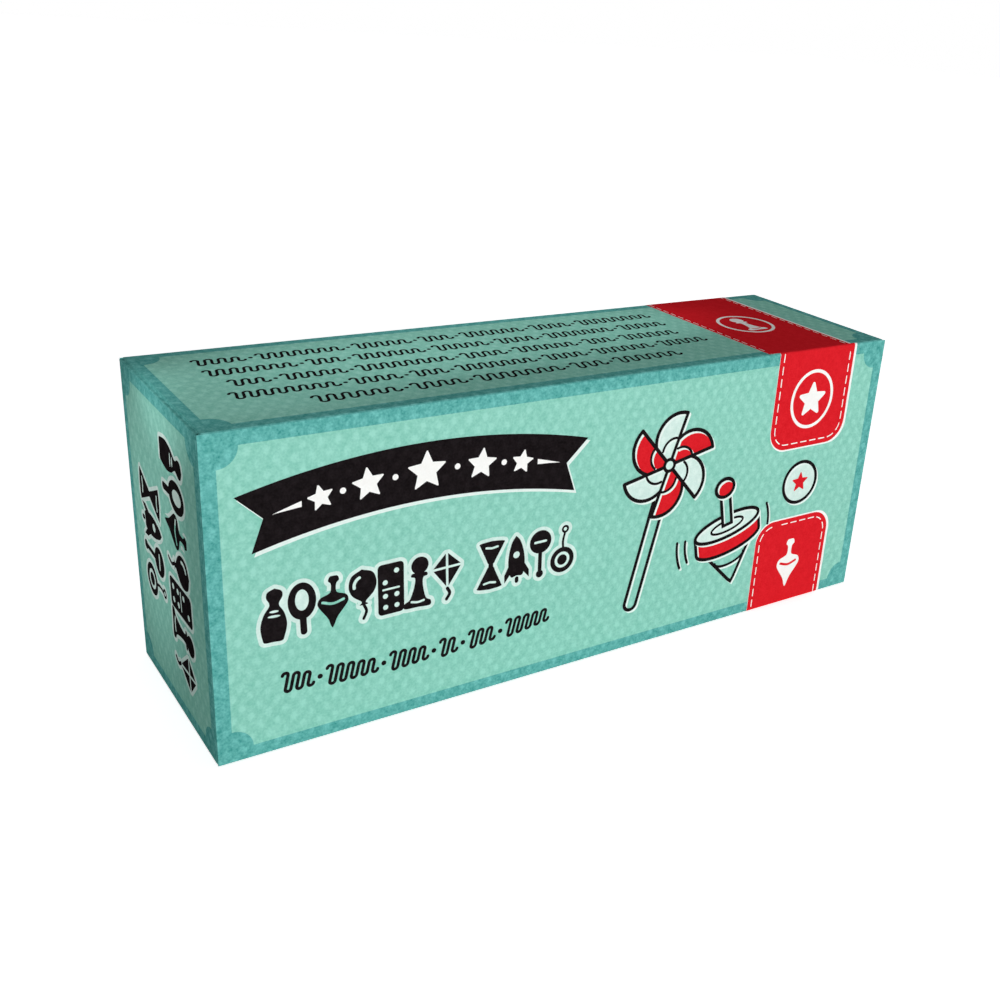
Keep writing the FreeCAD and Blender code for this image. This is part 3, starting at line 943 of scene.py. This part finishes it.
def lay_top_side(sheet):
    tall, thick, gap = 3.3, 0.6, 2.3
    lay_panel(sheet, box_length, box_depth)
    rows = [
        (11.7, 129.0, 40.2, (4, 7, 5, 3, 6, 4, 8)),
        (11.7, 128.2, 32.7, (7, 3, 6, 5, 4, 7, 5)),
        (14.2, 126.3, 25.1, (3, 5, 8, 4, 6, 3, 6)),
        (11.8, 129.4, 17.5, (8, 4, 3, 7, 4, 6, 5)),
        (25.3, 115.6, 9.9, (6, 4, 7, 3, 6)),
    ]
    lay_waves(sheet, rows, tall, thick, gap, "lines")


# The left and right edges of the red band on the front and, in another place, on the top.
front_band = (51.24, 76.55)
top_band = (47.9, 74.75)
# The inset of the stitches from the band's edges, and their width.
front_seam = (1.35, 0.3)
top_seam = (0.85, 0.22)
upper_tab_reach = 25.54
lower_tab_reach = 24.7
tab_radius = 5.6
edge_growth = 0.4
edge_shift = 0.33
stitch_length = 1.9
stitch_gap = 1.25
ring_wide = 7.2
ring_high = 7.7
ring_width = 0.85


def lay_band(sheet, name, runs, marks):
    """A red band that wraps over creases and ends in rounded tabs, stitched along its edges. Each
    run of it is (low, high, band, inset of the stitches, their width), and a mark is (run, size of
    its ring or 0, place, figure, size)."""
    for index, (low, high, band, inset, thread) in enumerate(runs):
        first, last = index == 0, index == len(runs) - 1
        left, right = band
        low_radius, high_radius = tab_radius * first, tab_radius * last
        sheet.add(name, "white", 2, [[rounded_box(
            left - edge_growth + edge_shift, low - edge_growth * first,
            right + edge_growth + edge_shift, high + edge_growth * last, low_radius, high_radius)]])
        sheet.add(name, "red", 3, [[rounded_box(left, low, right, high, low_radius, high_radius)]])
        seam = rounded_box(
            left + inset, low + inset * first, right - inset, high - inset * last,
            max(0, low_radius - inset), max(0, high_radius - inset))
        half = len(seam) // 2
        if first:
            seam = seam[half:] + seam[:half]
        if first and last:
            seam = seam + seam[:1]
        sheet.add(name, "white", 4, dashes(seam, stitch_length, stitch_gap, thread))
    for run, ring, place, figure, size in marks:
        centre = sum(runs[run][2]) / 2
        if ring:
            wide, high = ring_wide * ring, ring_high * ring
            inside = oval(centre, place, wide - ring_width, high - ring_width, 64)
            sheet.add(name, "white", 4, [[oval(centre, place, wide, high, 64), inside[::-1]]])
        sheet.add(name, "white", 4, move_parts(figure(), x=centre, y=place, size=size))


def lay_all_print():
    right, up = (1, 0, 0), (0, 0, 1)
    front_title, front_ball = 9.75, (151.4, 34.6)
    back_title, back_shift, back_ball = 92.0, -55.0, (60.5, 12.0)
    star_drop, star_size = 13.0, 9.4
    front = Print("front", Face((-half_length, -half_depth, 0), right, up), "carton", "front")
    lay_long_side(front, front_title, 0.0, front_ball)
    back = Print("back", Face((half_length, half_depth, 0), (-1, 0, 0), up), "carton", "front")
    lay_long_side(back, back_title, back_shift, back_ball)
    top = Print("top", Face((-half_length, -half_depth, box_height), right, (0, 1, 0)), "carton", "top")
    lay_top_side(top)
    bottom = Print("bottom", Face((-half_length, half_depth, 0), right, (0, -1, 0)), "carton", "top")
    lay_panel(bottom, box_length, box_depth)
    left_end = Print("left_end", Face((-half_length, half_depth, 0), (0, -1, 0), up), "left_end", "end")
    lay_end(left_end)
    right_end = Print("right_end", Face((half_length, -half_depth, 0), (0, 1, 0), up), "right_end", "end")
    lay_end(right_end)
    wrap = Wrap()
    bands = Print("band", wrap, "carton", "front")
    crease = wrap.top(crease_radius - half_depth)
    upper = [
        (wrap.front(box_height - upper_tab_reach), crease, front_band, *front_seam),
        (crease, wrap.back(box_height - upper_tab_reach), top_band, *top_seam),
    ]
    lay_band(bands, "upper", upper, [
        (0, 1.0, wrap.front(box_height - star_drop), plain_star, star_size),
        (1, 1.03, wrap.top(-0.5), pawn, 10.9),
        (1, 1.0, wrap.back(box_height - star_drop), plain_star, star_size),
    ])
    start, stop = wrap.back(upper_tab_reach) - wrap.total, wrap.front(lower_tab_reach)
    lower = [(start, stop, front_band, *front_seam)]
    lay_band(bands, "lower", lower, [
        (0, 0.0, wrap.front(11.5), slim_top, 14.0),
        (0, 1.0, wrap.top(0.0) - wrap.total / 2, pawn, 11.0),
    ])
    for sheet in (front, back, top, bottom, left_end, right_end, bands):
        sheet.finish()


def wood(name, along, dark, light):
    """Pale beech: soft growth bands and short flecks along the grain."""
    growth_size, line_size, fleck_size = 3.2, 0.7, 0.42
    squeeze, fleck_squeeze = 0.08, 0.22
    line_shade, fleck_shade = "B98D5E", "A47447"
    finish = Finish(name, 0.5, 0.3)
    stretch = tuple(squeeze if axis == along else 1.0 for axis in "XYZ")
    fleck_stretch = tuple(fleck_squeeze if axis == along else 1.0 for axis in "XYZ")
    growth = finish.noise(growth_size, 2.0, stretch, distortion=0.6)
    lines = finish.noise(line_size, 3.0, stretch)
    flecks = finish.noise(fleck_size, 2.0, fleck_stretch)
    base = finish.mix(finish.step(growth, 0.35, 0.65), colour(light), colour(dark))
    lined = finish.mix(finish.step(lines, 0.45, 0.7, 0.0, 0.35), base, colour(line_shade))
    flecked = finish.mix(finish.step(flecks, 0.62, 0.72, 0.0, 0.55), lined, colour(fleck_shade))
    finish.bump(flecks, 0.03)
    return finish.paint(flecked)


def red_lacquer():
    finish = Finish("red_lacquer", 0.28, 0.5)
    finish.look("Coat Weight", 0.35)
    finish.look("Coat Roughness", 0.18)
    finish.bump(finish.noise(1.1, 2.0), 0.02)
    tone = finish.step(finish.noise(6.0), 0.3, 0.7, 0.0, 0.35)
    return finish.paint(finish.mix(tone, colour("CE1A20"), colour("B3141A")))


def pale_ball():
    """Thin satin plastic in two halves, with a fine seam round the middle."""
    seam_core, seam_edge = 0.05, 0.22
    finish = Finish("pale_ball", 0.38, 0.45)
    finish.look("Subsurface Weight", 0.15)
    finish.look("Subsurface Radius", (3 * millimetre,) * 3)
    middle = (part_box("floating_ball")[0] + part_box("floating_ball")[1]) / 2
    away = finish.vector("SUBTRACT", finish.place, middle).outputs[0]
    tilt = Vector((0.35, -0.3, 0.89)).normalized()
    height = finish.math("ABSOLUTE", finish.vector("DOT_PRODUCT", away, tilt).outputs["Value"])
    seam = finish.step(height, seam_core * millimetre, seam_edge * millimetre)
    skin = finish.math("MULTIPLY_ADD", finish.noise(0.3, 2.0), 0.15, seam)
    finish.bump(skin, 0.05)
    tone = finish.mix(finish.noise(5.0), colour("E4EFEA"), colour("EAF3EF"))
    return finish.paint(finish.mix(seam, colour("CBDAD3"), tone))


def dress_toy():
    upright = wood("turned_beech", "Z", "CFA473", "E2BF93")
    for name in ["pipe_foot", "pipe_cup"] + ["ring_post_%d" % number for number in range(1, 5)]:
        wear(name, upright)
    wear("pipe_stem", wood("stem_beech", "X", "D3AA7A", "E4C398"))
    wear("air_jet", wood("jet_beech", "Z", "C0935F", "D4AC7C"))
    wear("guard_ring", red_lacquer())
    wear("floating_ball", pale_ball())


# The camera that took the photograph, solved from the carton's nine visible edges and the
# borders of its print.
camera_place = (-144.92, -221.83, 145.47)
camera_heading = 36.993
camera_dip = 23.225
camera_roll = 4.619
camera_lens = 42.585
camera_shift = (-0.1087, 0.0042)


def make_camera():
    heading, dip, roll = (math.radians(a) for a in (camera_heading, camera_dip, camera_roll))
    forward = Vector((math.sin(heading) * math.cos(dip), math.cos(heading) * math.cos(dip), -math.sin(dip)))
    level = forward.cross(Vector((0, 0, 1))).normalized()
    above = level.cross(forward)
    right = level * math.cos(roll) + above * math.sin(roll)
    up = above * math.cos(roll) - level * math.sin(roll)
    data = bpy.data.cameras.new("camera")
    data.lens = camera_lens
    data.sensor_width = 36
    data.shift_x, data.shift_y = camera_shift
    data.clip_start = 10 * millimetre
    camera = bpy.data.objects.new("camera", data)
    turn = Matrix((right, up, -forward)).transposed().to_4x4()
    camera.matrix_world = Matrix.Translation(Vector(camera_place) * millimetre) @ turn
    scene.collection.objects.link(camera)
    scene.camera = camera


ambient = 0.23
key_strength = 2.86
fill_strength = 1.7
overhead_strength = 0.1
floor_glow = 0.76


def seen_directly(tree):
    """1 for rays that show the background itself: from the camera, in gloss and through glass."""
    path = tree.nodes.new("ShaderNodeLightPath")
    total = path.outputs["Is Camera Ray"]
    for name in ("Is Glossy Ray", "Is Transmission Ray"):
        add = tree.nodes.new("ShaderNodeMath")
        add.operation = "MAXIMUM"
        tree.links.new(total, add.inputs[0])
        tree.links.new(path.outputs[name], add.inputs[1])
        total = add.outputs[0]
    return total


def make_world():
    world = bpy.data.worlds.new("studio")
    world.use_nodes = True
    scene.world = world
    tree = world.node_tree
    soft = tree.nodes["Background"]
    white = tree.nodes.new("ShaderNodeBackground")
    choose = tree.nodes.new("ShaderNodeMixShader")
    tree.links.new(seen_directly(tree), choose.inputs[0])
    for socket, shader, strength in ((1, soft, ambient), (2, white, 1.0)):
        shader.inputs["Color"].default_value = (1, 1, 1, 1)
        shader.inputs["Strength"].default_value = strength
        tree.links.new(shader.outputs[0], choose.inputs[socket])
    tree.links.new(choose.outputs[0], tree.nodes["World Output"].inputs[0])


def make_floor():
    """A pale floor whose own glow fills it up to white and leaves the object's shadow."""
    material = bpy.data.materials.new("floor")
    material.use_nodes = True
    tree = material.node_tree
    shader = tree.nodes["Principled BSDF"]
    looks = {
        "Base Color": (0.9, 0.9, 0.9, 1),
        "Roughness": 0.9,
        "Specular IOR Level": 0.0,
        "Emission Color": (1, 1, 1, 1),
    }
    for name, value in looks.items():
        shader.inputs[name].default_value = value
    glow = tree.nodes.new("ShaderNodeMath")
    glow.operation = "MULTIPLY"
    glow.inputs[1].default_value = floor_glow
    tree.links.new(seen_directly(tree), glow.inputs[0])
    tree.links.new(glow.outputs[0], shader.inputs["Emission Strength"])
    reach, drop = 3000 * millimetre, 0.1 * millimetre
    data = bpy.data.meshes.new("floor")
    corners = [(-reach, -reach, 0), (reach, -reach, 0), (reach, reach, 0), (-reach, reach, 0)]
    data.from_pydata(corners, [], [(0, 1, 2, 3)])
    data.materials.append(material)
    floor = bpy.data.objects.new("floor", data)
    floor.location.z = -drop
    scene.collection.objects.link(floor)


def make_lamp(name, kind, place, target, energy, **settings):
    data = bpy.data.lights.new(name, kind)
    data.energy = energy
    for key, value in settings.items():
        setattr(data, key, value)
    lamp = bpy.data.objects.new(name, data)
    lamp.location = Vector(place) * millimetre
    aim = (Vector(target) - Vector(place)).to_track_quat("-Z", "Y")
    lamp.rotation_euler = aim.to_euler()
    lamp.visible_camera = False
    lamp.visible_glossy = False
    scene.collection.objects.link(lamp)


def make_pool(name, aim, side, rise, radius, level):
    """A round pool of soft light. side and rise say from where it comes, and level is how
    bright it makes a white surface that faces it."""
    distance = 700
    slope = math.radians(rise)
    toward = Vector((*side, math.tan(slope) * math.hypot(*side))).normalized()
    # A spot spreads its power over a whole sphere, and white gives back 1 / pi of what it gets.
    power = level * math.pi * 4 * math.pi * (distance * millimetre) ** 2
    cone = 2 * math.atan(radius / distance)
    place = Vector(aim) + toward * distance
    make_lamp(name, "SPOT", place, aim, power, spot_size=cone, spot_blend=1.0)


def make_lamps():
    """Three suns, whose places only give their directions, and three pools."""
    make_lamp("key", "SUN", (-120, -1000, 100), (0, 0, 35), key_strength, angle=math.radians(20))
    make_pool("sweep_left", (-64, -1, 70), (-1, -0.17), 23.7, 27, 0.39)
    make_pool("sweep_right", (-1, 10, 70), (1, 0.02), 20.5, 28, 0.65)
    make_pool("glow_left", (-87.5, 9, 42), (-1, -0.15), 50, 26.5, 0.36)
    make_lamp("fill", "SUN", (700, 700, 90), (0, 0, 35), fill_strength, angle=math.radians(30))
    make_lamp("overhead", "SUN", (0, 0, 1000), (0, 0, 0), overhead_strength, angle=math.radians(30))


dress_carton()
lay_all_print()
dress_toy()
make_camera()
make_world()
make_floor()
make_lamps()
